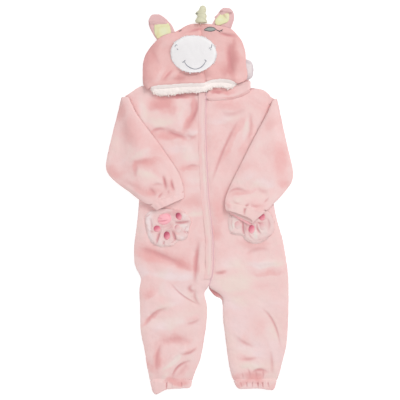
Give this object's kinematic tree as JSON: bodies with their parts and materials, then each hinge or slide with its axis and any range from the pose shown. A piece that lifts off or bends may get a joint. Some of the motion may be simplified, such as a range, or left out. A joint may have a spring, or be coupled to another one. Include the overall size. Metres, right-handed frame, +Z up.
{
  "type": "jumpsuit",
  "caption": "Toddler's hooded plush jumpsuit laid flat on its back, with an animal-face hood, stuffed horn, gathered cuffs and ankles and paw-shaped pockets.",
  "frame": {"origin": "middle of the overall box, on the floor that the garment lies on", "axes": "+Y towards the head, +X to the right of a viewer over the garment with its head at the top, +Z up from the floor, so the front faces +Z"},
  "size_m": [0.415, 0.8544, 0.0276],
  "materials": {
    "plush": "plush pile",
    "pale_plush": "plush pile",
    "fleece_white": "curly fleece",
    "muzzle_white": "short plush",
    "ear_yellow": "short plush",
    "horn_cream": "short plush, stuffed",
    "satin": "satin",
    "zip_plastic": "moulded"
  },
  "bodies": {
    "root": {"back_left": "plush", "back_right": "plush", "front_left": "plush", "front_right": "plush", "hood_back_left": "plush", "hood_back_right": "plush", "hood_left": "plush", "hood_right": "plush", "neck_band_left": "plush", "neck_band_right": "plush", "placket": "plush", "sleeve_left": "plush", "sleeve_right": "plush", "cuff_left": "plush", "cuff_right": "plush", "ankle_left": "plush", "ankle_right": "plush", "ear_left": "plush", "ear_right": "plush", "mane": "pale_plush", "pocket_left": "pale_plush", "pocket_right": "pale_plush", "hood_trim": "fleece_white", "muzzle": "muzzle_white", "ear_lining_left": "ear_yellow", "ear_lining_right": "ear_yellow", "horn": "horn_cream", "palm_left": "satin", "palm_right": "satin", "toe_left_1": "satin", "toe_left_2": "satin", "toe_left_3": "satin", "toe_left_4": "satin", "toe_right_1": "satin", "toe_right_2": "satin", "toe_right_3": "satin", "toe_right_4": "satin", "zip_tape": "zip_plastic", "zip_slider": "zip_plastic", "zip_pull": "zip_plastic"}
  },
  "joints": []
}
